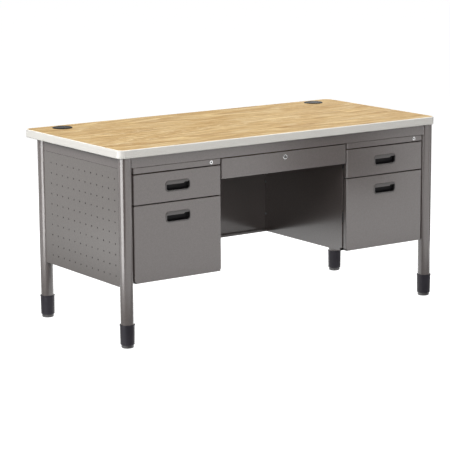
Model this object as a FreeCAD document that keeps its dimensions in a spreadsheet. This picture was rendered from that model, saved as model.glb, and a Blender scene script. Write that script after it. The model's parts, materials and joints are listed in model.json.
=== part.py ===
import FreeCAD, Part
import math
import os
from types import SimpleNamespace

import Sketcher
from FreeCAD import Placement, Rotation, Vector

# Double-pedestal teacher desk: laminate worktop on four round legs, two pedestals with a box drawer and a
# file drawer each, a centre drawer, perforated end panels and a modesty panel.
# Millimetres. Origin on the floor under the middle of the worktop, +X to the sitter's right as seen from the
# front, +Y towards the back, +Z up. The drawer fronts face -Y.

doc = FreeCAD.newDocument("teacher_desk")
sheet = doc.addObject("Spreadsheet::Sheet", "dims")

DIMENSIONS = {
    # worktop
    "top_width": 1524.0,
    "top_depth": 724.0,
    "desk_height": 749.3,
    "top_thickness": 31.75,
    "laminate_thickness": 1.2,
    "band_thickness": 5.0,
    "band_round": 3.0,
    "corner_radius": 30.0,
    # cable grommets
    "grommet_from_end": 136.0,
    "grommet_from_back": 72.0,
    "grommet_flange_radius": 40.0,
    "grommet_barrel_radius": 31.8,
    "grommet_bore_radius": 29.5,
    "grommet_flange_height": 3.0,
    "grommet_bevel_width": 3.0,
    "grommet_bevel_height": 1.8,
    "grommet_seat_depth": 0.6,
    "grommet_depth": 38.0,
    "cap_radius": 33.5,
    "cap_thickness": 2.4,
    "cap_bevel_width": 1.2,
    "cap_bevel_height": 0.6,
    "cap_skirt_depth": 10.0,
    "cap_skirt_wall": 1.6,
    "cap_lift": 0.02,
    "cable_notch_width": 14.0,
    "cable_notch_depth": 9.0,
    # legs
    "leg_diameter": 50.8,
    "leg_wall": 2.0,
    "leg_from_end": 36.0,
    "leg_from_front": 26.0,
    "leg_from_back": 97.0,
    "boot_top": 90.0,
    "boot_bottom": 13.0,
    "boot_floor": 8.0,
    "boot_plug_height": 24.0,
    "boot_base_radius": 27.0,
    "boot_neck_radius": 28.0,
    "boot_collar_radius": 29.0,
    "boot_collar_height": 3.5,
    "boot_round": 0.8,
    "glide_radius": 23.8,
    "glide_edge": 3.0,
    "glide_gap": 0.4,
    "stem_radius": 5.0,
    "stem_length": 46.0,
    "stem_point": 1.5,
    # rails and panels in folded sheet steel
    "sheet_steel": 1.2,
    "front_setback": 14.0,
    "apron_bottom": 678.5,
    "rail_depth": 22.0,
    "rear_rail_from_back": 106.0,
    "panel_bottom": 228.0,
    "side_plane": 740.0,
    "side_flange": 14.0,
    "side_rail_drop": 2.0,
    "seam_gap": 0.8,
    "hole_radius": 3.0,
    "hole_columns": 12,
    "hole_rows": 10,
    "hole_column_pitch": 42.8,
    "hole_row_pitch": 40.9,
    "hole_first_column": -285.0,
    "hole_first_row": 266.4,
    "modesty_plane": 200.0,
    "modesty_bottom": 238.0,
    "modesty_flange": 15.0,
    "modesty_lip": 9.0,
    "modesty_gap": 10.0,
    # pedestals
    "knee_width": 602.0,
    "pedestal_outer": 700.0,
    "pedestal_bottom": 237.0,
    "pedestal_front": 325.0,
    "pedestal_back": 204.0,
    "shell_return": 5.0,
    "shell_header": 25.0,
    "shell_notch": 12.0,
    "top_flange": 15.0,
    # drawer fronts
    "front_inset": 4.0,
    "front_outer_inset": 3.0,
    "front_gap": 3.5,
    "front_bend": 1.5,
    "front_side_bend": 4.0,
    "corner_relief_width": 4.5,
    "corner_relief_height": 8.0,
    "front_depth": 19.0,
    "lock_rail_top": 677.7,
    "lock_rail_bottom": 654.5,
    "box_front_top": 651.0,
    "box_front_bottom": 537.0,
    "file_front_bottom": 240.0,
    "center_front_inset": 0.5,
    "center_front_top": 675.0,
    "center_front_bottom": 597.0,
    # drawer trays
    "tray_steel": 1.0,
    "tray_hem": 6.0,
    "tray_back": 140.0,
    "center_tray_back": 100.0,
    "box_tray_bottom": 545.0,
    "box_tray_top": 632.0,
    "file_tray_bottom": 250.0,
    "file_tray_top": 505.0,
    "center_tray_bottom": 606.0,
    "center_tray_top": 656.0,
    # drawer slides
    "slide_space": 13.0,
    "slide_height": 40.0,
    "slide_steel": 1.2,
    "slide_gap": 1.0,
    "slide_way": 2.0,
    "slide_overrun": 20.0,
    "slide_reach": 1.0,
    "box_slide_mid": 587.0,
    "file_slide_mid": 375.0,
    "center_slide_mid": 632.0,
    # moulded finger pulls
    "pull_width": 112.0,
    "pull_height": 42.0,
    "pull_corner": 15.0,
    "pull_rim": 4.0,
    "pull_rim_round": 2.5,
    "pull_proud": 3.0,
    "pull_cup_inset": 2.4,
    "pull_cup_depth": 16.0,
    "pull_wall": 1.5,
    "pull_hood_height": 11.0,
    "pull_hood_step": 5.0,
    "pull_hood_step_from": 26.0,
    "pull_hood_setback": 2.0,
    "pull_hood_thickness": 2.2,
    "pull_hood_bite": 0.5,
    "box_pull_mid": 595.0,
    "file_pull_mid": 478.0,
    # locks
    "lock_from_edge": 44.0,
    "pedestal_lock_height": 666.2,
    "center_lock_height": 653.5,
    "pedestal_plug_radius": 4.2,
    "center_plug_radius": 7.2,
    "lock_barrel_wall": 1.4,
    "lock_bezel_width": 2.4,
    "lock_bezel_bevel": 0.8,
    "lock_barrel_length": 10.0,
    "lock_proud": 1.5,
    "plug_inset": 0.2,
    "plug_bevel": 0.4,
    "keyway_width": 1.4,
    "keyway_depth": 3.0,
    "cam_post_radius": 3.0,
    "cam_steel": 2.0,
    "cam_width": 8.0,
    "cam_slot_width": 6.0,
    "pedestal_cam_length": 22.0,
    "center_cam_length": 31.0,
    # screws
    "screw_radius": 2.5,
    "screw_head_radius": 4.5,
    "screw_head": 2.5,
    "screw_length": 14.0,
    "screw_row_front": 240.0,
    "screw_row_back": 140.0,
}

for row, (alias, number) in enumerate(DIMENSIONS.items(), start=1):
    sheet.set(f"A{row}", alias)
    sheet.set(f"B{row}", str(number))
    sheet.setAlias(f"B{row}", alias)
doc.recompute()


class Size:
    """A length that carries its number and the spreadsheet formula that gives it."""

    def __init__(self, number, formula):
        self.number = number
        self.formula = formula

    def __add__(self, other):
        return combine(self, "+", other)

    def __radd__(self, other):
        return combine(other, "+", self)

    def __sub__(self, other):
        return combine(self, "-", other)

    def __rsub__(self, other):
        return combine(other, "-", self)

    def __mul__(self, other):
        return combine(self, "*", other)

    def __rmul__(self, other):
        return combine(other, "*", self)

    def __truediv__(self, other):
        return combine(self, "/", other)

    def __neg__(self):
        return combine(-1.0, "*", self)


OPERATIONS = {
    "+": lambda a, b: a + b,
    "-": lambda a, b: a - b,
    "*": lambda a, b: a * b,
    "/": lambda a, b: a / b,
}


def size_of(item):
    if isinstance(item, Size):
        return item
    return Size(float(item), f"({float(item)})")


def combine(first, sign, second):
    first = size_of(first)
    second = size_of(second)
    number = OPERATIONS[sign](first.number, second.number)
    return Size(number, f"({first.formula} {sign} {second.formula})")


d = SimpleNamespace(**{key: Size(float(number), f"dims.{key}") for key, number in DIMENSIONS.items()})

QUARTER = math.pi / 2
RING = 0.1  # running clearance between round parts
CLEAR = 0.3  # clearance where a panel meets a leg
PAST = 5.0  # how far a cutting tool runs past the sheet that it cuts

# places worked out from the driving dimensions
half_width = d.top_width / 2
half_depth = d.top_depth / 2
underside = d.desk_height - d.top_thickness
front_plane = d.front_setback - half_depth
leg_radius = d.leg_diameter / 2
leg_x = half_width - d.leg_from_end
leg_front_y = d.leg_from_front - half_depth
leg_rear_y = half_depth - d.leg_from_back
shell_front = -d.pedestal_front
half_knee = d.knee_width / 2
front_back = front_plane + d.front_depth
rail_end = leg_x - d.leg_diameter / 4
grommet_x = half_width - d.grommet_from_end
grommet_y = half_depth - d.grommet_from_back
rear_face = half_depth - d.rear_rail_from_back
side_rail_bottom = d.apron_bottom - d.side_rail_drop
center_slot = (-d.center_cam_length, d.cam_width)  # left and right ends of the slots for the middle cam

nodes = []


# ---------------------------------------------------------------- helpers: Part primitives


def bind(item, prop, length):
    item.setExpression(prop, size_of(length).formula)


def place(item, corner):
    for axis, length in zip("xyz", corner):
        bind(item, f"Placement.Base.{axis}", length)


def slab(name, x, y, z):
    """A box between two bounds on each axis; the bounds may come in either order."""
    item = doc.addObject("Part::Box", name)
    low = []
    for prop, bounds in zip(("Length", "Width", "Height"), (x, y, z)):
        start, end = sorted((size_of(bounds[0]), size_of(bounds[1])), key=lambda length: length.number)
        bind(item, prop, end - start)
        low.append(start)
    place(item, low)
    return item


def rod(name, radius, length, base, direction):
    item = doc.addObject("Part::Cylinder", name)
    bind(item, "Radius", radius)
    bind(item, "Height", length)
    item.Placement = Placement(Vector(), Rotation(Vector(0, 0, 1), Vector(*direction)))
    place(item, base)
    return item


def fuse(name, items):
    item = doc.addObject("Part::MultiFuse", name)
    item.Shapes = items
    item.Refine = True
    return item


def cut(name, base, tools):
    item = doc.addObject("Part::Cut", name)
    item.Base = base
    item.Tool = tools[0] if len(tools) == 1 else fuse(name + "_tools", tools)
    item.Refine = True
    return item


def group(name, items):
    item = doc.addObject("Part::Compound", name)
    item.Links = items
    return item


def node(item, label):
    item.Label = label
    nodes.append(item)
    return item


# ---------------------------------------------------------------- helpers: PartDesign bodies


def new_body(label):
    part = doc.addObject("PartDesign::Body", label)
    return node(part, label)


def origin_feature(part, role):
    return [item for item in part.Origin.OriginFeatures if item.Role == role][0]


def new_sketch(part, name, plane, offset):
    """A sketch on one of the body's own origin planes, moved along +X, +Y or +Z by offset."""
    drawing = part.newObject("Sketcher::SketchObject", name)
    drawing.AttachmentSupport = (origin_feature(part, plane + "_Plane"), [""])
    drawing.MapMode = "FlatFace"
    bind(drawing, "AttachmentOffset.Base.z", -size_of(offset) if plane == "XZ" else offset)
    return drawing


def pin(drawing, kind, geometry, spot, length):
    length = size_of(length)
    index = drawing.addConstraint(Sketcher.Constraint(kind, -1, 1, geometry, spot, length.number))
    drawing.setExpression(f"Constraints[{index}]", length.formula)


def polygon(drawing, points):
    corners = [Vector(size_of(u).number, size_of(v).number, 0) for u, v in points]
    ends = corners[1:] + corners[:1]
    lines = [drawing.addGeometry(Part.LineSegment(a, b), False) for a, b in zip(corners, ends)]
    for line, following in zip(lines, lines[1:] + lines[:1]):
        drawing.addConstraint(Sketcher.Constraint("Coincident", line, 2, following, 1))
    for line, (u, v) in zip(lines, points):
        pin(drawing, "DistanceX", line, 1, u)
        pin(drawing, "DistanceY", line, 1, v)
    return drawing


def circle(drawing, u, v, radius):
    middle = Vector(size_of(u).number, size_of(v).number, 0)
    radius = size_of(radius)
    ring = drawing.addGeometry(Part.Circle(middle, Vector(0, 0, 1), radius.number), False)
    pin(drawing, "DistanceX", ring, 3, u)
    pin(drawing, "DistanceY", ring, 3, v)
    index = drawing.addConstraint(Sketcher.Constraint("Radius", ring, radius.number))
    drawing.setExpression(f"Constraints[{index}]", radius.formula)
    return drawing


def rounded_rectangle(drawing, half_x, half_y, radius, u=0.0, v=0.0):
    """A rectangle about the point (u, v) with an arc at each corner."""
    half_x = size_of(half_x)
    half_y = size_of(half_y)
    radius = size_of(radius)
    normal = Vector(0, 0, 1)
    arcs = []
    lines = []
    for turn, (east, north) in enumerate(((1, 1), (-1, 1), (-1, -1), (1, -1))):
        middle = (u + east * (half_x - radius), v + north * (half_y - radius))
        at = Vector(middle[0].number, middle[1].number, 0)
        start = turn * QUARTER
        arc = Part.ArcOfCircle(Part.Circle(at, normal, radius.number), start, start + QUARTER)
        arcs.append((drawing.addGeometry(arc, False), middle, arc))
    for (_, _, arc), (_, _, following) in zip(arcs, arcs[1:] + arcs[:1]):
        lines.append(drawing.addGeometry(Part.LineSegment(arc.EndPoint, following.StartPoint), False))
    for (arc, middle, _), before, after in zip(arcs, lines[-1:] + lines[:-1], lines):
        drawing.addConstraint(Sketcher.Constraint("Tangent", before, 2, arc, 1))
        drawing.addConstraint(Sketcher.Constraint("Tangent", arc, 2, after, 1))
        pin(drawing, "DistanceX", arc, 3, middle[0])
        pin(drawing, "DistanceY", arc, 3, middle[1])
    index = drawing.addConstraint(Sketcher.Constraint("Radius", arcs[0][0], radius.number))
    drawing.setExpression(f"Constraints[{index}]", radius.formula)
    return drawing


def rectangle(left, low, right, high):
    return [(left, low), (right, low), (right, high), (left, high)]


def pad(part, name, plane, draw, start, end):
    """Material between two places along the plane's world axis. XZ sketches face -Y, so they start at end."""
    drawing = new_sketch(part, name + "_sketch", plane, end if plane == "XZ" else start)
    draw(drawing)
    drawing.Visibility = False
    feature = part.newObject("PartDesign::Pad", name)
    feature.Profile = drawing
    bind(feature, "Length", end - start)
    doc.recompute()
    return feature


def pocket(part, name, plane, draw, start, end):
    """Takes material away between two places along the plane's world axis, and proves that it did."""
    before = part.Shape.Volume
    drawing = new_sketch(part, name + "_sketch", plane, start if plane == "XZ" else end)
    draw(drawing)
    drawing.Visibility = False
    feature = part.newObject("PartDesign::Pocket", name)
    feature.Profile = drawing
    bind(feature, "Length", end - start)
    doc.recompute()
    if part.Shape.Volume > before - 0.01:
        raise RuntimeError(f"{part.Label}: {name} took nothing away")
    return feature


def revolve(part, name, points):
    """Turns an outline of (radius, height) points about the body's own Z axis."""
    drawing = new_sketch(part, name + "_sketch", "XZ", 0.0)
    polygon(drawing, points)
    feature = part.newObject("PartDesign::Revolution", name)
    feature.Profile = drawing
    feature.ReferenceAxis = (drawing, ["V_Axis"])
    feature.Angle = 360.0
    doc.recompute()
    return feature


def dress(part, kind, name, base, test, prop, length):
    """A fillet or chamfer on the edges of base that pass the test."""
    edges = [f"Edge{i}" for i, edge in enumerate(base.Shape.Edges, start=1) if test(edge)]
    feature = part.newObject(kind, name)
    feature.Base = (base, edges)
    bind(feature, prop, length)
    doc.recompute()
    return feature


def fillet(part, name, base, test, radius):
    return dress(part, "PartDesign::Fillet", name, base, test, "Radius", radius)


def along(edge, axis):
    """True for a straight edge along the axis."""
    if not isinstance(edge.Curve, Part.Line):
        return False
    return abs(abs(edge.tangentAt(edge.FirstParameter).dot(Vector(*axis))) - 1) < 1e-6


def edge_at(edge, axis, place_on_axis):
    """True when the whole edge lies at one place along the axis (0, 1 or 2)."""
    box = edge.BoundBox
    low = (box.XMin, box.YMin, box.ZMin)[axis]
    high = (box.XMax, box.YMax, box.ZMax)[axis]
    where = size_of(place_on_axis).number
    return abs(low - where) < 1e-4 and abs(high - where) < 1e-4


# ---------------------------------------------------------------- worktop

SCREW_SPOTS = [
    (side * x, y)
    for side in (-1, 1)
    for x in (half_knee + d.top_flange / 2, d.pedestal_outer - d.top_flange / 2)
    for y in (-d.screw_row_front, d.screw_row_back)
]


def sheet_outline(drawing, inset):
    """The worktop's outline, moved inward."""
    rounded_rectangle(drawing, half_width - inset, half_depth - inset, d.corner_radius - inset)


def rounded_board(label, low, high):
    """One layer of the worktop inside the edge band, with the two grommet holes."""
    part = new_body(label)
    pad(part, "board", "XY", lambda s: sheet_outline(s, d.band_thickness), low, high)
    hole = d.grommet_barrel_radius + RING

    def holes(drawing):
        circle(drawing, -grommet_x, grommet_y, hole)
        circle(drawing, grommet_x, grommet_y, hole)

    pocket(part, "grommet_holes", "XY", holes, low, high)
    return part


def worktop():
    laminate_low = d.desk_height - d.laminate_thickness
    core = rounded_board("worktop_core", underside, laminate_low)

    def pilot_holes(drawing):
        for x, y in SCREW_SPOTS:
            circle(drawing, x, y, d.screw_radius + RING)

    pocket(core, "pilot_holes", "XY", pilot_holes, underside - 1.0, underside + d.screw_length)
    laminate = rounded_board("worktop_laminate", laminate_low, d.desk_height)

    def flange_seats(drawing):
        circle(drawing, -grommet_x, grommet_y, d.grommet_flange_radius + RING)
        circle(drawing, grommet_x, grommet_y, d.grommet_flange_radius + RING)

    pocket(laminate, "flange_seats", "XY", flange_seats, d.desk_height - d.grommet_seat_depth, d.desk_height)

    band = new_body("edge_band")
    block = pad(band, "block", "XY", lambda s: sheet_outline(s, size_of(0.0)), underside, d.desk_height)
    outer = lambda edge: edge_at(edge, 2, underside) or edge_at(edge, 2, d.desk_height)
    fillet(band, "soft_edges", block, outer, d.band_round)
    pocket(band, "opening", "XY", lambda s: sheet_outline(s, d.band_thickness), underside, d.desk_height)


# ---------------------------------------------------------------- cable grommets


def grommet(side, word):
    sleeve = new_body("grommet_sleeve_" + word)
    seat = d.grommet_flange_height - d.cap_thickness
    outline = [
        (d.grommet_bore_radius, -d.grommet_depth + d.grommet_flange_height),
        (d.grommet_barrel_radius, -d.grommet_depth + d.grommet_flange_height),
        (d.grommet_barrel_radius, -d.grommet_seat_depth),
        (d.grommet_flange_radius, -d.grommet_seat_depth),
        (d.grommet_flange_radius, d.grommet_flange_height - d.grommet_bevel_height),
        (d.grommet_flange_radius - d.grommet_bevel_width, d.grommet_flange_height),
        (d.cap_radius + CLEAR, d.grommet_flange_height),
        (d.cap_radius + CLEAR, seat),
        (d.grommet_bore_radius, seat),
    ]
    revolve(sleeve, "turned", outline)
    place(sleeve, (side * grommet_x, grommet_y, d.desk_height))

    cap = new_body("grommet_cap_" + word)
    skirt = d.grommet_bore_radius - CLEAR
    low = seat + d.cap_lift
    high = low + d.cap_thickness
    skirt_low = low - d.cap_skirt_depth
    outline = [
        (0.0, low),
        (skirt - d.cap_skirt_wall, low),
        (skirt - d.cap_skirt_wall, skirt_low),
        (skirt, skirt_low),
        (skirt, low),
        (d.cap_radius, low),
        (d.cap_radius, high - d.cap_bevel_height),
        (d.cap_radius - d.cap_bevel_width, high),
        (0.0, high),
    ]
    revolve(cap, "turned", outline)
    half_notch = d.cable_notch_width / 2
    notch = rectangle(-half_notch, skirt - d.cable_notch_depth, half_notch, d.cap_radius + PAST)
    pocket(cap, "cable_notch", "XY", lambda s: polygon(s, notch), skirt_low - PAST, high + PAST)
    place(cap, (side * grommet_x, grommet_y, d.desk_height))


# ---------------------------------------------------------------- legs, boots and leveling glides


def leg(word, x, y):
    tube = new_body("leg_tube_" + word)
    tube_bottom = d.boot_bottom + d.boot_floor

    def rings(drawing):
        circle(drawing, 0.0, 0.0, leg_radius)
        circle(drawing, 0.0, 0.0, leg_radius - d.leg_wall)

    pad(tube, "tube", "XY", rings, tube_bottom, underside)
    place(tube, (x, y, 0.0))

    boot = new_body("leg_boot_" + word)
    bore = leg_radius + RING
    plug = leg_radius - d.leg_wall - RING
    thread = d.stem_radius + RING
    plug_top = tube_bottom + d.boot_plug_height
    collar_low = d.boot_top - d.boot_collar_height
    step = d.boot_collar_radius - d.boot_neck_radius
    outline = [
        (thread, d.boot_bottom),
        (d.boot_base_radius - d.boot_round, d.boot_bottom),
        (d.boot_base_radius, d.boot_bottom + d.boot_round),
        (d.boot_neck_radius, collar_low - step),
        (d.boot_collar_radius, collar_low),
        (d.boot_collar_radius, d.boot_top - d.boot_round),
        (d.boot_collar_radius - d.boot_round, d.boot_top),
        (bore, d.boot_top),
        (bore, tube_bottom),
        (plug, tube_bottom),
        (plug, plug_top),
        (thread, plug_top),
    ]
    revolve(boot, "moulded", outline)
    place(boot, (x, y, 0.0))

    glide = new_body("leveling_glide_" + word)
    shoulder = d.boot_bottom - d.glide_gap
    stem_top = shoulder + d.stem_length
    third = d.glide_edge / 3
    outline = [
        (0.0, 0.0),
        (d.glide_radius - d.glide_edge, 0.0),
        (d.glide_radius - third, third),
        (d.glide_radius, d.glide_edge),
        (d.glide_radius, shoulder - third),
        (d.glide_radius - third, shoulder),
        (d.stem_radius, shoulder),
        (d.stem_radius, stem_top),
        (d.stem_radius - d.stem_point, stem_top + d.stem_point),
        (0.0, stem_top + d.stem_point),
    ]
    revolve(glide, "turned", outline)
    place(glide, (x, y, 0.0))


# ---------------------------------------------------------------- rails, end panels and modesty panel


def channel_outline(face, depth, low, high, inward):
    """A C section: an upright face with a flange folded inward at its top and bottom."""
    skin = inward * d.sheet_steel
    reach = face + inward * depth
    return [
        (face, low),
        (reach, low),
        (reach, low + d.sheet_steel),
        (face + skin, low + d.sheet_steel),
        (face + skin, high - d.sheet_steel),
        (reach, high - d.sheet_steel),
        (reach, high),
        (face, high),
    ]


def cope(part, legs):
    """Cuts the ends of a rail round the leg tubes that it meets."""

    def rings(drawing):
        for x, y in legs:
            circle(drawing, x, y, leg_radius + CLEAR)

    pocket(part, "cope", "XY", rings, d.panel_bottom - PAST, underside + PAST)


def cross_rail(label, face, inward, legs):
    part = new_body(label)
    outline = channel_outline(face, d.rail_depth, d.apron_bottom, underside, inward)
    pad(part, "rail", "YZ", lambda s: polygon(s, outline), -rail_end, rail_end)
    cope(part, legs)
    return part


def side_rail(side, word, legs):
    part = new_body("side_rail_" + word)
    outline = channel_outline(side * d.side_plane, d.side_flange, side_rail_bottom, underside, -side)
    pad(part, "rail", "XZ", lambda s: polygon(s, outline), leg_front_y, leg_rear_y)
    cope(part, legs)


def side_panel(side, word, legs):
    """The perforated end panel, with its holes in a grid of columns and rows."""
    part = new_body("side_panel_" + word)
    top = side_rail_bottom - d.seam_gap
    outline = channel_outline(side * d.side_plane, d.side_flange, d.panel_bottom, top, -side)
    pad(part, "panel", "XZ", lambda s: polygon(s, outline), leg_front_y, leg_rear_y)
    cope(part, legs)
    inner = side * (d.side_plane - d.side_flange / 2)
    start, end = sorted((side * d.side_plane, inner), key=lambda item: item.number)
    draw = lambda s: circle(s, d.hole_first_column, d.hole_first_row, d.hole_radius)
    hole = pocket(part, "hole", "YZ", draw, start, end)
    grid = part.newObject("PartDesign::MultiTransform", "hole_grid")
    steps = []
    for name, axis, pitch, count in (
        ("columns", "Y_Axis", d.hole_column_pitch, d.hole_columns),
        ("rows", "Z_Axis", d.hole_row_pitch, d.hole_rows),
    ):
        step = part.newObject("PartDesign::LinearPattern", name)
        step.Direction = (origin_feature(part, axis), [""])
        bind(step, "Length", pitch * (count - 1))
        bind(step, "Occurrences", count)
        steps.append(step)
    grid.Originals = [hole]
    grid.Transformations = steps
    part.Tip = grid
    doc.recompute()


def modesty_panel():
    edge = half_knee - CLEAR
    face = d.modesty_plane
    back = face + d.sheet_steel
    lip = face - d.modesty_flange
    low = d.modesty_bottom
    top = underside - d.modesty_gap
    pieces = [
        slab("modesty_web", (-edge, edge), (face, back), (low, top)),
        slab("modesty_fold", (-edge, edge), (lip, back), (low, low + d.sheet_steel)),
        slab("modesty_lip", (-edge, edge), (lip, lip + d.sheet_steel), (low, low + d.modesty_lip)),
    ]
    for side, word in ((-1, "left"), (1, "right")):
        x = (side * edge, side * (edge - d.sheet_steel))
        pieces.append(slab("modesty_side_" + word, x, (lip, back), (low, top)))
    whole = fuse("modesty_folded", pieces)
    holes = [
        rod("modesty_hole", d.screw_radius + RING, d.knee_width, (-half_knee, y, z), (1, 0, 0))
        for y, z in MODESTY_SCREWS
    ]
    node(cut("modesty", whole, holes), "modesty_panel")


MODESTY_SCREW_HEIGHTS = (313.0, 450.0, 590.0)
MODESTY_SCREWS = [(d.modesty_plane - d.modesty_flange / 2, z) for z in MODESTY_SCREW_HEIGHTS]


# ---------------------------------------------------------------- pedestals


def pedestal_shell(side, word):
    """A folded box, open at the front and top, with short returns round its front edge."""
    near = side * half_knee
    far = side * d.pedestal_outer
    step = side * d.sheet_steel
    outer = slab("shell_block", (near, far), (shell_front, d.pedestal_back), (d.pedestal_bottom, underside))
    inside_x = (near + step, far - step)
    inside_y = (shell_front + d.sheet_steel, d.pedestal_back - d.sheet_steel)
    inside_z = (d.pedestal_bottom + d.sheet_steel, underside - d.sheet_steel)
    cavity = slab("shell_cavity", inside_x, inside_y, inside_z)
    flange = side * d.top_flange
    mouth = slab("shell_mouth", (near + flange, far - flange), inside_y, (underside - PAST, underside + PAST))
    lip = side * d.shell_return
    ahead = (shell_front - PAST, shell_front + PAST)
    front_z = (d.pedestal_bottom + d.shell_return, underside - d.shell_header)
    front = slab("shell_front", (near + lip, far - lip), ahead, front_z)
    tools = [cavity, mouth, front]
    for name, middle in (("box", d.box_slide_mid), ("file", d.file_slide_mid)):
        reach = d.slide_height / 2 + d.slide_way
        tools.append(slab("slide_way_" + name, inside_x, ahead, (middle - reach, middle + reach)))
    notch_z = (d.pedestal_bottom - PAST, d.pedestal_bottom + d.shell_notch)
    notch_y = (shell_front - PAST, shell_front + d.shell_notch)
    tools.append(slab("shell_toe", (near - PAST * side, far + PAST * side), notch_y, notch_z))
    hole = d.screw_radius + RING
    for y, z in MODESTY_SCREWS:
        tools.append(rod("shell_screw_hole", hole, 2 * PAST, (near - PAST, y, z), (1, 0, 0)))
    for x, y in SCREW_SPOTS:
        if x.number * side > 0:
            tools.append(rod("flange_hole", hole, 2 * PAST, (x, y, underside - PAST), (0, 0, 1)))
    node(cut("shell_" + word, outer, tools), "pedestal_shell_" + word)


def front_span(side):
    """Left and right edges of a pedestal's drawer fronts."""
    inner = side * (half_knee + d.front_inset)
    outer = side * (d.pedestal_outer - d.front_outer_inset)
    return sorted((inner, outer), key=lambda item: item.number)


def pan(label, left, right, low, high, back):
    """A folded front: a skin with rounded edges and a return all round its back."""
    part = new_body(label)
    outline = lambda inset: rectangle(left + inset, low + inset, right - inset, high - inset)
    block = pad(part, "block", "XZ", lambda s: polygon(s, outline(0.0)), front_plane, back)
    upright = lambda edge: edge_at(edge, 1, front_plane) and along(edge, (0, 0, 1))
    level = lambda edge: edge_at(edge, 1, front_plane) and along(edge, (1, 0, 0))
    sides = fillet(part, "side_bends", block, upright, d.front_side_bend)
    fillet(part, "bends", sides, level, d.front_bend)
    skin = outline(d.sheet_steel)
    inside = front_plane + d.sheet_steel
    hollow = pocket(part, "hollow", "XZ", lambda s: polygon(s, skin), inside, back)
    corner = lambda edge: edge_at(edge, 1, inside) and along(edge, (0, 0, 1))
    fillet(part, "inner_bends", hollow, corner, d.front_side_bend - d.sheet_steel)
    return part


def corner_relief(part, left, right, low):
    """Notches where the side folds of a front stop short of its bottom fold."""
    high = low + d.corner_relief_height
    for name, start, end in (
        ("left", left - PAST, left + d.corner_relief_width),
        ("right", right - d.corner_relief_width, right + PAST),
    ):
        notch = rectangle(start, low - PAST, end, high)
        draw = lambda s: polygon(s, notch)
        pocket(part, "relief_" + name, "XZ", draw, front_plane - PAST, front_back + PAST)


def pull_outline(drawing, x, z, inset):
    """The pull's outline, moved inward."""
    half_x = d.pull_width / 2 - inset
    half_z = d.pull_height / 2 - inset
    rounded_rectangle(drawing, half_x, half_z, d.pull_corner - inset, x, z)


def pull_hole(part, x, z):
    draw = lambda s: pull_outline(s, x, z, d.pull_rim / 2)
    pocket(part, "pull_hole", "XZ", draw, front_plane - PAST, front_plane + PAST)


def lock_hole(part, x, z, radius):
    draw = lambda s: circle(s, x, z, radius + RING)
    pocket(part, "lock_hole", "XZ", draw, front_plane - PAST, front_plane + PAST)


def cam_slot(part, left, right, low, high):
    """A slot in a return that lets a lock's cam turn through it."""
    cam = front_plane + d.lock_barrel_length + d.cam_steel
    half_slot = d.cam_slot_width / 2
    draw = lambda s: polygon(s, rectangle(left, cam - half_slot, right, cam + half_slot))
    pocket(part, "cam_slot", "XY", draw, low, high)


def tray(label, x, y, z):
    """A drawer's steel box, with a narrow hem folded inward round its mouth."""
    left, right = x
    front, back = y
    low, high = z
    skin = d.tray_steel
    hem = d.tray_hem
    block = slab("tray_block", x, y, z)
    hollow_y = (front + skin, back - skin)
    hollow = slab("tray_hollow", (left + skin, right - skin), hollow_y, (low + skin, high - skin))
    mouth_y = (front + hem, back - hem)
    mouth = slab("tray_mouth", (left + hem, right - hem), mouth_y, (high - 2 * skin, high + skin))
    node(cut(label + "_cut", block, [hollow, mouth]), label)


def rail_member(name, face, direction, start, reach, half, y, middle):
    """One C-shaped slide member. It stands on face and opens in direction."""
    steel = d.slide_steel
    web = face + direction * start
    lip = face + direction * reach
    block = slab(name + "_block", (web, lip), y, (middle - half, middle + half))
    inner = (web + direction * steel, lip + direction * PAST)
    hollow_y = (y[0] - PAST, y[1] + PAST)
    hollow = slab(name + "_hollow", inner, hollow_y, (middle - half + steel, middle + half - steel))
    return cut(name, block, [hollow])


MEMBERS = {
    # kind: (starts from, web, reach, half height), measured from the carcass wall or the tray's side
    "fixed": ("wall", 0.0, 10.0, d.slide_height / 2),
    "middle": ("wall", 2.2, 10.6, d.slide_height / 2 - d.slide_steel - d.slide_gap),
    "runner": ("tray", 0.0, 8.0, d.slide_height / 2 - 2 * (d.slide_steel + d.slide_gap)),
}


def slide_members(kind, walls, y, middle):
    """The left and right members of one drawer's pair of slides."""
    stands_on, start, reach, half = MEMBERS[kind]
    left, right = walls
    if stands_on == "wall":
        faces = ((left, 1), (right, -1))
    else:
        faces = ((left + d.slide_space, -1), (right - d.slide_space, 1))
    return [rail_member(kind, face, direction, start, reach, half, y, middle) for face, direction in faces]


# ---------------------------------------------------------------- pulls and locks


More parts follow.
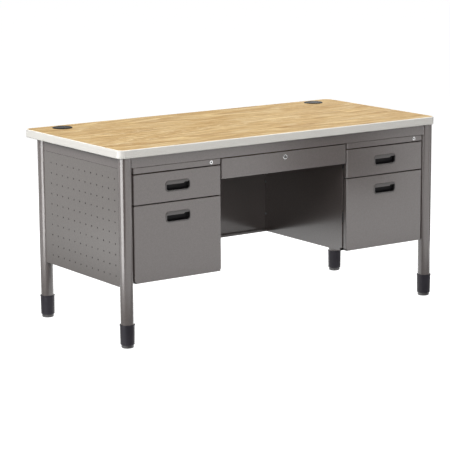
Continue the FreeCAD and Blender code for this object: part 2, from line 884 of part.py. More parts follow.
def pull(label, x, z):
    """A moulded finger pull: raised rim, deep cup, and a hood over the top of its mouth."""
    part = new_body(label)
    face = front_plane
    proud = face - d.pull_proud
    outer = pad(part, "rim", "XZ", lambda s: pull_outline(s, x, z, 0.0), proud, face)
    front_edge = lambda edge: edge_at(edge, 1, proud)
    fillet(part, "rolled_rim", outer, front_edge, d.pull_rim_round)
    cup = lambda s: pull_outline(s, x, z, d.pull_cup_inset)
    pad(part, "cup", "XZ", cup, face, face + d.pull_cup_depth)
    mouth = lambda s: pull_outline(s, x, z, d.pull_rim)
    pocket(part, "mouth", "XZ", mouth, proud, face + d.pull_cup_depth - d.pull_wall)

    half_mouth = d.pull_width / 2 - d.pull_rim
    top = z + d.pull_height / 2 - d.pull_rim
    low = top - d.pull_hood_height
    corner = d.pull_corner - d.pull_rim
    left = x - half_mouth - d.pull_hood_bite
    right = x + half_mouth + d.pull_hood_bite
    step = x + d.pull_hood_step_from
    hood = [
        (left, low),
        (step, low),
        (step + d.pull_hood_step, low + d.pull_hood_step),
        (right, low + d.pull_hood_step),
        (right, top - corner / 2),
        (right - corner / 2, top + d.pull_hood_bite),
        (left + corner / 2, top + d.pull_hood_bite),
        (left, top - corner / 2),
    ]
    hood_front = proud + d.pull_hood_setback
    pad(part, "hood", "XZ", lambda s: polygon(s, hood), hood_front, hood_front + d.pull_hood_thickness)


def lock_frame(part, x, z):
    """Puts a turned lock part in a front: its own +Z points out of the front, along -Y."""
    part.Placement = Placement(Vector(), Rotation(Vector(1, 0, 0), 90))
    place(part, (x, front_plane, z))


def housing_outline(plug_radius):
    bore = plug_radius + RING
    barrel = plug_radius + d.lock_barrel_wall
    bezel = plug_radius + d.lock_bezel_width
    return [
        (bore, -d.lock_barrel_length),
        (barrel, -d.lock_barrel_length),
        (barrel, 0.0),
        (bezel, 0.0),
        (bezel, d.lock_proud - d.lock_bezel_bevel),
        (bezel - d.lock_bezel_bevel, d.lock_proud),
        (bore, d.lock_proud),
    ]


def lock_housing(label, x, z, plug_radius):
    part = new_body(label)
    revolve(part, "turned", housing_outline(plug_radius))
    lock_frame(part, x, z)


def pedestal_lock_housings(lock_spots):
    """The two pedestals' lock housings, pressed into their lock rails."""
    housings = []
    outward = (0, -1, 0)
    inward = (0, 1, 0)
    z = d.pedestal_lock_height
    for x in lock_spots:
        face = (x, front_plane, z)
        plug = d.pedestal_plug_radius
        bezel = rod("housing_bezel", plug + d.lock_bezel_width, d.lock_proud, face, outward)
        barrel = rod("housing_barrel", plug + d.lock_barrel_wall, d.lock_barrel_length, face, inward)
        ahead = (x, front_plane - PAST, z)
        bore = rod("housing_bore", plug + RING, d.lock_barrel_length + 2 * PAST, ahead, inward)
        housings.append(cut("housing", fuse("housing_block", [bezel, barrel]), [bore]))
    node(group("housings", housings), "pedestal_lock_housings")


def lock_plug(label, x, z, plug_radius, cam_length, cam_side):
    """The plug that the key turns, with its keyway and the cam on its tail."""
    part = new_body(label)
    barrel_end = -d.lock_barrel_length - CLEAR
    tail = -d.lock_barrel_length - d.cam_steel / 2
    face = d.lock_proud - d.plug_inset
    outline = [
        (0.0, tail),
        (d.cam_post_radius, tail),
        (d.cam_post_radius, barrel_end),
        (plug_radius, barrel_end),
        (plug_radius, face - d.plug_bevel),
        (plug_radius - d.plug_bevel, face),
        (0.0, face),
    ]
    revolve(part, "turned", outline)
    half = d.cam_width / 2
    ends = sorted((-cam_side * half, cam_side * cam_length), key=lambda item: item.number)
    cam = rectangle(ends[0], -half, ends[1], half)
    pad(part, "cam", "XY", lambda s: polygon(s, cam), tail - d.cam_steel, tail)
    half_key = plug_radius * KEYWAY_SHARE
    keyway = rectangle(-half_key, -d.keyway_width / 2, half_key, d.keyway_width / 2)
    pocket(part, "keyway", "XY", lambda s: polygon(s, keyway), d.lock_proud - d.keyway_depth, d.lock_proud)
    lock_frame(part, x, z)


KEYWAY_SHARE = 0.62  # the keyway's length as a share of the plug's width

# ---------------------------------------------------------------- one pedestal with its two drawers


def pedestal(side, word):
    pedestal_shell(side, word)
    left, right = front_span(side)
    lock_x = right - d.lock_from_edge
    lock_z = d.pedestal_lock_height
    middle_x = (left + right) / 2

    rail = pan("lock_rail_" + word, left, right, d.lock_rail_bottom, d.lock_rail_top, shell_front)
    plug = d.pedestal_plug_radius
    lock_hole(rail, lock_x, lock_z, plug + d.lock_barrel_wall)
    slot_left = lock_x - d.cam_width
    slot_right = lock_x + d.pedestal_cam_length + d.cam_steel
    cam_slot(rail, slot_left, slot_right, d.lock_rail_bottom - PAST, d.lock_rail_bottom + d.front_bend)
    lock_plug("lock_plug_" + word, lock_x, lock_z, plug, d.pedestal_cam_length, 1)

    walls = sorted(
        (side * (half_knee + d.sheet_steel), side * (d.pedestal_outer - d.sheet_steel)),
        key=lambda item: item.number,
    )
    tray_x = (walls[0] + d.slide_space, walls[1] - d.slide_space)
    tray_y = (front_back, d.tray_back)
    fixed_y = (shell_front + d.slide_way, d.tray_back + d.slide_overrun)
    moving_y = (shell_front - d.slide_reach, d.tray_back)

    box = pan(f"box_drawer_front_{word}", left, right, d.box_front_bottom, d.box_front_top, front_back)
    pull_hole(box, middle_x, d.box_pull_mid)
    cam_slot(box, slot_left, slot_right, d.box_front_top - d.front_bend, d.box_front_top + PAST)
    tray(f"box_drawer_tray_{word}", tray_x, tray_y, (d.box_tray_bottom, d.box_tray_top))
    pull(f"box_drawer_pull_{word}", middle_x, d.box_pull_mid)
    runners = slide_members("runner", walls, moving_y, d.box_slide_mid)
    node(group("runners", runners), f"box_drawer_runners_{word}")

    file_top = d.box_front_bottom - d.front_gap
    file = pan(f"file_drawer_front_{word}", left, right, d.file_front_bottom, file_top, front_back)
    corner_relief(file, left, right, d.file_front_bottom)
    pull_hole(file, middle_x, d.file_pull_mid)
    tray(f"file_drawer_tray_{word}", tray_x, tray_y, (d.file_tray_bottom, d.file_tray_top))
    pull(f"file_drawer_pull_{word}", middle_x, d.file_pull_mid)
    runners = slide_members("runner", walls, moving_y, d.file_slide_mid)
    node(group("runners", runners), f"file_drawer_runners_{word}")
    middles = slide_members("middle", walls, moving_y, d.file_slide_mid)
    node(group("middles", middles), f"file_slide_middles_{word}")

    fixed = slide_members("fixed", walls, fixed_y, d.box_slide_mid)
    fixed += slide_members("fixed", walls, fixed_y, d.file_slide_mid)
    node(group("fixed_slides", fixed), f"fixed_slides_{word}")
    return lock_x


# ---------------------------------------------------------------- centre drawer


def center_drawer():
    edge = half_knee - d.center_front_inset
    front = pan("center_drawer_front", -edge, edge, d.center_front_bottom, d.center_front_top, front_back)
    plug = d.center_plug_radius
    lock_hole(front, 0.0, d.center_lock_height, plug + d.lock_barrel_wall)
    cam_slot(front, *center_slot, d.center_front_top - d.front_bend, d.center_front_top + PAST)
    walls = (-half_knee, half_knee)
    tray_x = (walls[0] + d.slide_space, walls[1] - d.slide_space)
    tray_y = (front_back, d.center_tray_back)
    tray("center_drawer_tray", tray_x, tray_y, (d.center_tray_bottom, d.center_tray_top))
    lock_housing("center_lock_housing", 0.0, d.center_lock_height, plug)
    lock_plug("center_lock_plug", 0.0, d.center_lock_height, plug, d.center_cam_length, -1)
    moving_y = (shell_front - d.slide_reach, d.center_tray_back)
    fixed_y = (shell_front + d.slide_way, d.center_tray_back + d.slide_overrun)
    middle = d.center_slide_mid
    node(group("runners", slide_members("runner", walls, moving_y, middle)), "center_drawer_runners")
    node(group("fixed_slides", slide_members("fixed", walls, fixed_y, middle)), "fixed_slides_center")


# ---------------------------------------------------------------- screws


def screw(name, base, direction):
    """A pan-head screw: the head stands on base and the shank goes along direction."""
    back = [-step for step in direction]
    head = rod(name + "_head", d.screw_head_radius, d.screw_head, base, back)
    shank = rod(name + "_shank", d.screw_radius, d.screw_length, base, direction)
    return fuse(name, [head, shank])


def assembly_screws():
    screws = []
    for x, y in SCREW_SPOTS:
        screws.append(screw("worktop_screw", (x, y, underside - d.sheet_steel), (0, 0, 1)))
    flange = half_knee - CLEAR - d.sheet_steel
    for side in (-1, 1):
        for y, z in MODESTY_SCREWS:
            screws.append(screw("modesty_screw", (side * flange, y, z), (side, 0, 0)))
    node(group("screws", screws), "assembly_screws")


# ---------------------------------------------------------------- the whole desk

LEGS = {
    "front_left": (-leg_x, leg_front_y),
    "front_right": (leg_x, leg_front_y),
    "rear_left": (-leg_x, leg_rear_y),
    "rear_right": (leg_x, leg_rear_y),
}

worktop()
for side, word in ((-1, "left"), (1, "right")):
    grommet(side, word)
    pair = [LEGS["front_" + word], LEGS["rear_" + word]]
    side_rail(side, word, pair)
    side_panel(side, word, pair)
for word, (x, y) in LEGS.items():
    leg(word, x, y)

apron = cross_rail("front_apron", front_plane, 1, [LEGS["front_left"], LEGS["front_right"]])
cam_slot(apron, *center_slot, d.apron_bottom - PAST, d.apron_bottom + d.front_bend)
cross_rail("rear_rail", rear_face, -1, [LEGS["rear_left"], LEGS["rear_right"]])
modesty_panel()

lock_spots = [pedestal(side, word) for side, word in ((-1, "left"), (1, "right"))]
pedestal_lock_housings(lock_spots)
center_drawer()
assembly_screws()

doc.recompute()
os.makedirs("parts", exist_ok=True)
for item in doc.Objects:
    if "Invalid" in item.State or "Error" in item.State:
        raise RuntimeError(f"{item.Name} did not compute: {item.State}")
for item in nodes:
    if item.Shape.isNull() or not item.Shape.isValid():
        raise RuntimeError(f"{item.Label} has no valid shape")
    if not item.Shape.Solids:
        raise RuntimeError(f"{item.Label} has no solid")
for item in nodes:
    item.Shape.exportStep(f"parts/{item.Label}.step")
print(f"{len(nodes)} nodes written")
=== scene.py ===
import json
import math

import bmesh
import bpy
from mathutils import Matrix, Vector


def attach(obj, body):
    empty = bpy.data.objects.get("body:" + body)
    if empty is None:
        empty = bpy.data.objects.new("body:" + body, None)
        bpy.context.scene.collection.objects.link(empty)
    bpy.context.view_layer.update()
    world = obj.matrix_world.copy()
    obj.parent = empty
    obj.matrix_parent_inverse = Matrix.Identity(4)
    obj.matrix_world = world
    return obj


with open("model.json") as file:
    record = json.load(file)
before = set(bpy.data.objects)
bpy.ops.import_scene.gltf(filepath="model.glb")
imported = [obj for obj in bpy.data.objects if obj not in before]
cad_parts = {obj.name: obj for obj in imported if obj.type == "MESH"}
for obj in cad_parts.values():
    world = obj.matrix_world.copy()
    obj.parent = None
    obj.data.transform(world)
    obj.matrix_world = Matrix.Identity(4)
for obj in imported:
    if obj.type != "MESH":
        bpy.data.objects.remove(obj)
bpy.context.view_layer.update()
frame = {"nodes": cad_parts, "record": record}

# Teacher desk: the finish of every CAD node, the small pieces that only the eye needs, the floor, the
# lights and the camera. Metres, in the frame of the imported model: origin on the floor under the middle of
# the worktop, +X along the desk, +Y to its back, +Z up.

scene = bpy.context.scene

# ---------------------------------------------------------------- material graphs


class Graph:
    """A procedural material: a Principled shader and the nodes that feed it."""

    def __init__(self, name):
        self.material = bpy.data.materials.new(name)
        self.material.use_nodes = True
        self.tree = self.material.node_tree
        self.shader = self.tree.nodes["Principled BSDF"]
        self.place = self.add("TexCoord").outputs["Object"]

    def add(self, kind, **settings):
        node = self.tree.nodes.new("ShaderNode" + kind)
        for key, value in settings.items():
            setattr(node, key, value)
        return node

    def feed(self, socket, value):
        if isinstance(value, bpy.types.NodeSocket):
            self.tree.links.new(value, socket)
        else:
            socket.default_value = value

    def set(self, name, value):
        self.feed(self.shader.inputs[name], value)

    def math(self, operation, first, second=0.0):
        node = self.add("Math", operation=operation)
        self.feed(node.inputs[0], first)
        self.feed(node.inputs[1], second)
        return node.outputs[0]

    def stretch(self, vector, scale, shift=(0.0, 0.0, 0.0)):
        """vector times scale plus shift, so a texture can be drawn out along one axis."""
        node = self.add("Mapping")
        self.feed(node.inputs["Vector"], vector)
        node.inputs["Scale"].default_value = scale
        node.inputs["Location"].default_value = shift
        return node.outputs[0]

    def noise(self, vector, scale, detail=2.0, roughness=0.5):
        node = self.add("TexNoise")
        self.feed(node.inputs["Vector"], vector)
        node.inputs["Scale"].default_value = scale
        node.inputs["Detail"].default_value = detail
        node.inputs["Roughness"].default_value = roughness
        return node.outputs["Fac"]

    def remap(self, value, old, new):
        """value carried from the range old to the range new, and held inside it."""
        node = self.add("MapRange")
        self.feed(node.inputs["Value"], value)
        for name, number in zip(("From Min", "From Max", "To Min", "To Max"), (*old, *new)):
            node.inputs[name].default_value = number
        return node.outputs["Result"]

    def mix(self, share, first, second, blend="MIX"):
        node = self.add("Mix", data_type="RGBA", blend_type=blend)
        self.feed(node.inputs["Factor"], share)
        self.feed(node.inputs["A"], first)
        self.feed(node.inputs["B"], second)
        return node.outputs["Result"]

    def tint(self, colour, tone):
        """colour made lighter or darker by the number tone, which is near 1."""
        return self.mix(1.0, colour, self.grey(tone), blend="MULTIPLY")

    def grey(self, value):
        node = self.add("CombineColor")
        for socket in node.inputs:
            self.feed(socket, value)
        return node.outputs["Color"]

    def bump(self, height, distance):
        """Surface relief: height from 0 to 1 stands for distance metres."""
        node = self.add("Bump")
        node.inputs["Distance"].default_value = distance
        self.feed(node.inputs["Height"], height)
        return node.outputs["Normal"]

    def split(self, vector):
        """The three components of vector."""
        node = self.add("SeparateXYZ")
        self.feed(node.inputs[0], vector)
        return node.outputs


def rgba(red, green, blue):
    """A colour given as the eye reads it on a screen, 0 to 1, in the linear values that shaders take."""
    linear = [c / 12.92 if c <= 0.04045 else ((c + 0.055) / 1.055) ** 2.4 for c in (red, green, blue)]
    return (*linear, 1.0)


# ---------------------------------------------------------------- finishes

PULL_RIM_BACK = -0.3466      # Y where a pull's grey rim ends and its cup, painted near black as shade, starts


def powder_coat(name, colour, gloss_low, gloss_high):
    """Baked powder paint on sheet steel: an even grey with a fine fleck and the orange peel it cures with."""
    g = Graph(name)
    fleck = g.noise(g.place, 240.0, detail=3.0, roughness=0.7)
    cloud = g.noise(g.place, 2.6, detail=1.0)
    fine_tone = g.remap(fleck, (0.2, 0.8), (0.86, 1.14))
    broad_tone = g.remap(cloud, (0.0, 1.0), (0.96, 1.04))
    g.set("Base Color", g.tint(colour, g.math("MULTIPLY", fine_tone, broad_tone)))
    wear = g.noise(g.place, 35.0, detail=3.0)
    g.set("Roughness", g.remap(wear, (0.0, 1.0), (gloss_low, gloss_high)))
    peel = g.noise(g.place, 260.0, detail=1.5)
    g.set("Normal", g.bump(peel, 0.00005))
    return g.material


def oak_laminate(name):
    """Printed oak: plain-sawn leaves side by side, their arches and lines drawn out along X."""
    leaf_width = 0.235
    ring_pitch = 0.024
    cream = rgba(0.95, 0.88, 0.72)
    light = rgba(0.89, 0.785, 0.58)
    middle = rgba(0.785, 0.65, 0.42)
    dark = rgba(0.57, 0.41, 0.22)

    g = Graph(name)
    x, y, _ = g.split(g.place)

    across = g.math("DIVIDE", y, leaf_width)
    leaf = g.math("ROUND", across)
    chance = g.add("TexWhiteNoise", noise_dimensions="1D")
    g.feed(chance.inputs["W"], leaf)
    from_middle = g.math("MULTIPLY", g.math("SUBTRACT", across, leaf), leaf_width)
    along = g.math("ADD", x, g.remap(chance.outputs["Value"], (0.0, 1.0), (-1.2, 1.2)))

    # growth rings: arches where the leaf was cut near the heart, straight lines at its sides
    wander = g.noise(g.stretch(g.place, (1.6, 9.0, 1.0)), 1.0, detail=4.0)
    sway = g.math("ADD", from_middle, g.remap(wander, (0.0, 1.0), (-0.07, 0.07)))
    depth = g.math("MULTIPLY", along, 0.06)
    squares = g.math("ADD", g.math("MULTIPLY", sway, sway), g.math("MULTIPLY", depth, depth))
    radius = g.math("SQRT", squares)
    ring = g.math("FRACT", g.math("DIVIDE", radius, ring_pitch))
    early = g.remap(ring, (0.0, 0.8), (0.0, 1.0))
    late = g.remap(ring, (0.88, 1.0), (1.0, 0.0))
    figure = g.math("MULTIPLY", early, late)

    # long lines of every width, open pores, short pale flecks and dark dashes that gather in a few bands,
    # and broader streaks
    lines = g.noise(g.stretch(g.place, (3.4, 26.0, 1.0), (4.0, 1.0, 0.0)), 1.0, detail=6.0, roughness=0.78)
    pores = g.noise(g.stretch(g.place, (16.0, 170.0, 1.0)), 1.0, detail=4.0, roughness=0.7)
    pore = g.remap(pores, (0.53, 0.70), (0.0, 1.0))
    clusters = g.noise(g.stretch(g.place, (1.1, 8.0, 1.0), (7.0, 3.0, 0.0)), 1.0)
    bands = g.remap(clusters, (0.46, 0.60), (0.0, 1.0))
    flecks = g.noise(g.stretch(g.place, (20.0, 76.0, 1.0), (3.0, 5.0, 0.0)), 1.0, detail=3.0, roughness=0.65)
    fleck = g.math("MULTIPLY", g.remap(flecks, (0.57, 0.66), (0.0, 1.0)), bands)
    dashes = g.noise(g.stretch(g.place, (16.0, 76.0, 1.0), (9.0, 8.0, 0.0)), 1.0, detail=3.0, roughness=0.65)
    dash = g.math("MULTIPLY", g.remap(dashes, (0.58, 0.68), (0.0, 1.0)), bands)
    streaks = g.noise(g.stretch(g.place, (6.0, 38.0, 1.0), (2.0, 9.0, 0.0)), 1.0, detail=4.0, roughness=0.75)

    wood = g.mix(g.remap(lines, (0.36, 0.64), (0.0, 1.0)), light, middle)
    wood = g.mix(g.math("MULTIPLY", g.remap(streaks, (0.53, 0.66), (0.0, 1.0)), 0.6), wood, dark)
    wood = g.mix(g.math("MULTIPLY", g.remap(streaks, (0.47, 0.34), (0.0, 1.0)), 0.7), wood, cream)
    wood = g.mix(g.math("MULTIPLY", figure, 0.5), wood, dark)
    wood = g.mix(g.math("MULTIPLY", g.remap(lines, (0.56, 0.76), (0.0, 1.0)), 0.6), wood, dark)
    wood = g.mix(g.math("MULTIPLY", pore, 0.35), wood, dark)
    wood = g.mix(g.math("MULTIPLY", fleck, 0.6), wood, cream)
    wood = g.mix(g.math("MULTIPLY", dash, 0.65), wood, dark)
    g.set("Base Color", wood)
    g.set("Roughness", g.remap(pores, (0.2, 0.8), (0.36, 0.50)))
    g.set("Normal", g.bump(g.math("SUBTRACT", 1.0, pore), 0.00003))
    return g.material


def particleboard(name):
    """Pressed chips of several browns, raw on the underside and in the bores."""
    g = Graph(name)
    chips = g.add("TexVoronoi", feature="F1")
    g.feed(chips.inputs["Vector"], g.stretch(g.place, (160.0, 260.0, 260.0)))
    chips.inputs["Scale"].default_value = 1.0
    shade = g.add("SeparateColor")
    g.feed(shade.inputs[0], chips.outputs["Color"])
    wood = g.mix(shade.outputs[0], rgba(0.55, 0.43, 0.29), rgba(0.76, 0.63, 0.45))
    dust = g.noise(g.place, 900.0, detail=2.0)
    g.set("Base Color", g.tint(wood, g.remap(dust, (0.3, 0.7), (0.85, 1.1))))
    g.shader.inputs["Roughness"].default_value = 0.85
    g.set("Normal", g.bump(chips.outputs["Distance"], 0.0003))
    return g.material


def vinyl_band(name):
    """The pale extruded band round the worktop, with drawing lines along it and a fine pebble."""
    g = Graph(name)
    mottle = g.noise(g.place, 260.0, detail=2.0)
    scuff = g.noise(g.stretch(g.place, (6.0, 6.0, 300.0)), 1.0, detail=2.0)
    fine_tone = g.remap(mottle, (0.3, 0.7), (0.97, 1.03))
    line_tone = g.remap(scuff, (0.3, 0.7), (0.98, 1.02))
    g.set("Base Color", g.tint(rgba(0.935, 0.925, 0.90), g.math("MULTIPLY", fine_tone, line_tone)))
    g.set("Roughness", g.remap(mottle, (0.3, 0.7), (0.42, 0.55)))
    g.set("Normal", g.bump(mottle, 0.00008))
    return g.material


def moulded_plastic(name, colour, gloss_low, gloss_high, grain, relief, shine=0.5):
    """Injection-moulded plastic with a spark-eroded grain."""
    g = Graph(name)
    g.shader.inputs["Specular IOR Level"].default_value = shine
    pebble = g.noise(g.place, grain, detail=2.0)
    cloud = g.noise(g.place, 18.0, detail=2.0)
    g.set("Base Color", g.tint(colour, g.remap(cloud, (0.3, 0.7), (0.88, 1.12))))
    g.set("Roughness", g.remap(pebble, (0.3, 0.7), (gloss_low, gloss_high)))
    g.set("Normal", g.bump(pebble, relief))
    return g.material


def finger_pull(name):
    """The pull's moulding: satin grey where it meets the hand, and its cup behind the drawer's face painted
    near black as painted shade for the dark recess.
    """
    g = Graph(name)
    _, y, _ = g.split(g.place)
    # painted shade: past PULL_RIM_BACK the cup is coloured near black for the shade in its recess, and made
    # rougher
    shaded_cup = g.remap(y, (PULL_RIM_BACK, PULL_RIM_BACK + 0.001), (0.0, 1.0))
    pebble = g.noise(g.place, 800.0, detail=2.0)
    colour = g.mix(shaded_cup, rgba(0.40, 0.385, 0.38), rgba(0.07, 0.065, 0.07))
    g.set("Base Color", g.tint(colour, g.remap(pebble, (0.3, 0.7), (0.94, 1.06))))
    g.set("Roughness", g.remap(shaded_cup, (0.0, 1.0), (0.26, 0.75)))
    g.shader.inputs["Specular IOR Level"].default_value = 0.3
    g.set("Normal", g.bump(pebble, 0.00002))
    return g.material


def plated_metal(name, colour, gloss_low, gloss_high, brush):
    """Bright plating: metal whose roughness follows fine polishing lines."""
    g = Graph(name)
    lines = g.noise(g.stretch(g.place, brush), 1.0, detail=2.0)
    cloud = g.noise(g.place, 60.0, detail=3.0)
    g.set("Base Color", g.tint(colour, g.remap(cloud, (0.3, 0.7), (0.92, 1.06))))
    g.shader.inputs["Metallic"].default_value = 1.0
    g.set("Roughness", g.remap(lines, (0.3, 0.7), (gloss_low, gloss_high)))
    g.set("Normal", g.bump(lines, 0.00001))
    return g.material


# one finish for each material slot of the record; lock_brass is the plugs' dull nickel
FINISHES = {
    "laminate": oak_laminate("laminate"),
    "particleboard": particleboard("particleboard"),
    "edge_band": vinyl_band("edge_band"),
    "black_plastic": moulded_plastic("black_plastic", rgba(0.11, 0.115, 0.12), 0.20, 0.32, 500.0, 0.00002),
    "boot_plastic": moulded_plastic("boot_plastic", rgba(0.225, 0.215, 0.24), 0.42, 0.55, 700.0, 0.00005,
                                    shine=0.15),
    "glide_plastic": moulded_plastic("glide_plastic", rgba(0.18, 0.175, 0.18), 0.40, 0.55, 700.0, 0.00004),
    "pull_plastic": finger_pull("pull_plastic"),
    "lock_brass": plated_metal("lock_brass", rgba(0.34, 0.335, 0.33), 0.30, 0.42, (900.0, 60.0, 60.0)),
    "lock_chrome": plated_metal("lock_chrome", rgba(0.72, 0.72, 0.72), 0.14, 0.24, (400.0, 60.0, 400.0)),
    "zinc_steel": plated_metal("zinc_steel", rgba(0.46, 0.47, 0.48), 0.42, 0.56, (20.0, 20.0, 900.0)),
    "tray_steel": powder_coat("tray_steel", rgba(0.42, 0.41, 0.40), 0.34, 0.42),
    "panel_paint": powder_coat("panel_paint", rgba(0.42, 0.395, 0.38), 0.15, 0.19),
    "frame_paint": powder_coat("frame_paint", rgba(0.425, 0.395, 0.385), 0.15, 0.19),
}


for part in frame["record"]["subparts"]:
    slots = frame["nodes"][part["node"]].data.materials
    slots.clear()
    slots.append(FINISHES[part["material_slot"]])

# ---------------------------------------------------------------- small pieces


def object_from(name, work, material):
    """A linked object of one material from a finished bmesh, which is freed."""
    mesh = bpy.data.meshes.new(name)
    work.to_mesh(mesh)
    work.free()
    mesh.materials.append(material)
    piece = bpy.data.objects.new(name, mesh)
    scene.collection.objects.link(piece)
    return piece


def plate(name, low, high, edge, material, body):
    """A plate between two corners with its edges broken, riding one body of the model."""
    work = bmesh.new()
    bmesh.ops.create_cube(work, size=1.0)
    middle = [(a + b) / 2 for a, b in zip(low, high)]
    spans = [b - a for a, b in zip(low, high)]
    bmesh.ops.scale(work, vec=spans, verts=work.verts)
    bmesh.ops.translate(work, vec=middle, verts=work.verts)
    bmesh.ops.bevel(work, geom=list(work.edges), offset=edge, segments=2, affect="EDGES", profile=0.5)
    piece = object_from(name, work, material)
    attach(piece, body)


# painted shade: a black plate behind the rows of holes in each end panel, standing in for the dark inside of
# the desk seen through them
SHADE_SHEET_X = (0.7362, 0.7374)
SHADE_SHEET_Y = (-0.303, 0.232)
SHADE_SHEET_Z = (0.243, 0.668)
SHADE_SHEET_EDGE = 0.0004

shade_sheet = powder_coat("shade_sheet", rgba(0.05, 0.05, 0.05), 0.8, 0.9)
shade_sheet.node_tree.nodes["Principled BSDF"].inputs["Specular IOR Level"].default_value = 0.1
for side, word in ((-1, "left"), (1, "right")):
    near, far = sorted(side * x for x in SHADE_SHEET_X)
    low = (near, SHADE_SHEET_Y[0], SHADE_SHEET_Z[0])
    high = (far, SHADE_SHEET_Y[1], SHADE_SHEET_Z[1])
    plate("panel_shade_sheet_" + word, low, high, SHADE_SHEET_EDGE, shade_sheet, "root")

# ---------------------------------------------------------------- floor and backdrop

STAGE_RADIUS = 60.0
SHEEN_RADIUS = 7.0
FLOOR_FRONT = 3.1            # glow of the mirrored floor in front of the desk
FLOOR_REAR = 1.5             # and behind it
FLOOR_NEAR = 0.3             # share of the glow that is left in the strip beside the desk
DESK_HALF_WIDTH = 0.762
DESK_HALF_DEPTH = 0.362
WHITE = (1.0, 1.0, 1.0, 1.0)


def only_glows(shader, reflect):
    """Make a shader a white glow over a matt grey that reflects the share given."""
    shader.inputs["Base Color"].default_value = (reflect, reflect, reflect, 1.0)
    shader.inputs["Roughness"].default_value = 1.0
    shader.inputs["Specular IOR Level"].default_value = 0.0
    shader.inputs["Emission Color"].default_value = WHITE


def glowing(name, glow, reflect=0.0):
    """A matt surface that also glows, as an overlit studio sweep does."""
    g = Graph(name)
    only_glows(g.shader, reflect)
    g.shader.inputs["Emission Strength"].default_value = glow
    return g.material


def floor_sheen():
    """The floor as the paint mirrors it: overlit in front, calmer behind and in a strip beside the desk."""
    g = Graph("floor_sheen")
    only_glows(g.shader, reflect=0.0)
    x, y, _ = g.split(g.place)
    glow = g.remap(y, (0.4, 2.0), (FLOOR_FRONT, FLOOR_REAR))
    past_end = g.math("SUBTRACT", g.math("ABSOLUTE", x), DESK_HALF_WIDTH)
    past_front = g.math("SUBTRACT", g.math("MULTIPLY", y, -1.0), DESK_HALF_DEPTH)
    outside = g.math("MAXIMUM", past_end, past_front)
    inner_edge = g.remap(outside, (0.0, 0.03), (0.0, 1.0))
    outer_edge = g.remap(outside, (0.45, 0.95), (1.0, 0.0))
    strip = g.math("MULTIPLY", inner_edge, outer_edge)
    keep = g.remap(strip, (0.0, 1.0), (1.0, FLOOR_NEAR))
    g.set("Emission Strength", g.math("MULTIPLY", glow, keep))
    return g.material


def stage_piece(name, build, material, camera, glossy):
    """One piece of the studio, seen by the camera or in reflections; it lights nothing."""
    work = bmesh.new()
    build(work)
    piece = object_from(name, work, material)
    piece.visible_camera = camera
    piece.visible_glossy = glossy
    piece.visible_diffuse = False
    piece.visible_transmission = False
    return piece


def disc(radius):
    return lambda work: bmesh.ops.create_circle(work, cap_ends=True, segments=96, radius=radius)


def sphere(radius):
    return lambda work: bmesh.ops.create_uvsphere(work, u_segments=64, v_segments=32, radius=radius)


def unit_square(work):
    bmesh.ops.create_grid(work, x_segments=1, y_segments=1, size=0.5)


def mirrored(name, build, material):
    """A piece that only the reflections show."""
    piece = stage_piece(name, build, material, camera=False, glossy=True)
    piece.visible_shadow = False
    return piece


def card(name, glow, place, width, height, turn):
    """An upright panel that shows only in reflections; turn is degrees about Z from facing -Y."""
    panel = mirrored(name, unit_square, glowing(name, glow))
    panel.location = place
    panel.scale = (width, height, 1.0)
    panel.rotation_euler = (math.radians(90.0), 0.0, math.radians(turn))


stage_piece("floor", disc(STAGE_RADIUS), glowing("floor", 1.0, 0.35), camera=True, glossy=False)
backdrop_white = glowing("backdrop", 1.06)
backdrop = stage_piece("backdrop", sphere(STAGE_RADIUS), backdrop_white, camera=True, glossy=False)
backdrop.visible_shadow = False

# What the paint mirrors: the bright floor round the desk, a dark gap in it where two banks of lamps meet,
# a bright wall and its dark end on the left, and calmer walls on the right and at the back.
sheen = mirrored("floor_sheen", disc(SHEEN_RADIUS), floor_sheen())
sheen.location = (0.0, 0.0, -0.002)

gap = mirrored("dark_gap", unit_square, glowing("dark_gap", 0.0))
gap.location = (2.85, -3.675, 0.002)
gap.scale = (0.60, 2.65, 1.0)
gap.rotation_euler = (0.0, 0.0, math.radians(38.3))

card("left_wall", 11.5, (-1.90, -0.35, 0.33), 1.0, 0.8, 90.0)
card("left_shade", 0.0, (-1.90, -1.65, 0.5), 1.6, 1.0, 90.0)
card("right_shade", 0.6, (1.75, 0.6, 0.55), 3.0, 1.2, 90.0)
card("back_wall", 0.3, (1.0, 5.0, 2.0), 16.0, 4.0, 0.0)

# ---------------------------------------------------------------- light


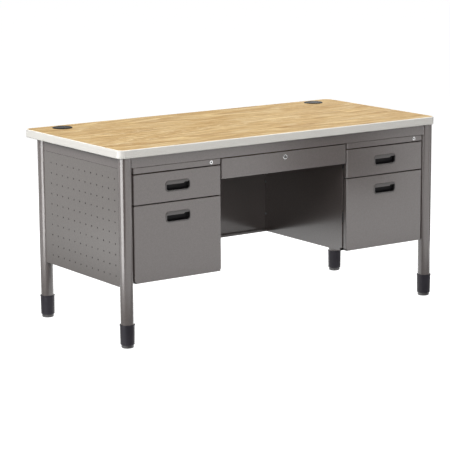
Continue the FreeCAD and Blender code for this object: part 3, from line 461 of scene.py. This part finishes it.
def softbox(name, place, target, width, height, power):
    """A large lamp that lights the desk without showing in it."""
    light = bpy.data.lights.new(name, "AREA")
    light.shape = "RECTANGLE"
    light.size = width
    light.size_y = height
    light.energy = power
    lamp = bpy.data.objects.new(name, light)
    scene.collection.objects.link(lamp)
    lamp.location = place
    lamp.rotation_mode = "QUATERNION"
    lamp.rotation_quaternion = (Vector(target) - Vector(place)).to_track_quat("-Z", "Y")
    lamp.visible_camera = False
    lamp.visible_glossy = False


softbox("key", (-0.9, -2.0, 3.1), (0.0, 0.0, 0.6), 2.4, 2.0, 48.0)
softbox("left_softbox", (-2.9, 0.4, 2.3), (-0.6, 0.0, 0.6), 2.2, 1.6, 86.0)
softbox("overhead", (1.2, 0.5, 3.0), (0.7, 0.2, 0.7), 2.6, 2.0, 66.0)
softbox("front_left", (-2.0, -3.6, 1.5), (-0.4, 0.0, 0.5), 2.0, 1.6, 31.0)
softbox("front_right", (1.8, -3.4, 1.4), (0.3, 0.0, 0.5), 2.0, 1.6, 27.0)
softbox("right_fill", (3.2, 0.3, 0.55), (0.76, 0.0, 0.45), 1.4, 0.8, 26.0)
softbox("rear_fill", (0.0, 3.4, 0.60), (0.0, 0.35, 0.45), 2.4, 0.8, 16.0)

world = bpy.data.worlds.new("studio")
world.use_nodes = True
background = world.node_tree.nodes["Background"]
background.inputs["Color"].default_value = WHITE
background.inputs["Strength"].default_value = 0.002
scene.world = world

# ---------------------------------------------------------------- camera

CAMERA_PLACE = (-4.3317, -6.1776, 1.8139)
CAMERA_HEADING = 34.811      # degrees from +Y towards +X
CAMERA_DIP = 11.023          # degrees below the horizon
CAMERA_ROLL = -0.378         # degrees
CAMERA_LENS = 151.2          # millimetres on a 36 mm sensor
CAMERA_SHIFT = (-0.0041, -0.0083)

camera = bpy.data.objects.new("camera", bpy.data.cameras.new("camera"))
scene.collection.objects.link(camera)
heading = Matrix.Rotation(math.radians(-CAMERA_HEADING), 4, "Z")
tilt = Matrix.Rotation(math.radians(90.0 - CAMERA_DIP), 4, "X")
roll = Matrix.Rotation(math.radians(CAMERA_ROLL), 4, "Z")
camera.matrix_world = Matrix.Translation(CAMERA_PLACE) @ heading @ tilt @ roll
camera.data.lens = CAMERA_LENS
camera.data.sensor_width = 36.0
camera.data.shift_x, camera.data.shift_y = CAMERA_SHIFT
camera.data.clip_end = 200.0
scene.camera = camera
scene.view_settings.view_transform = "Standard"
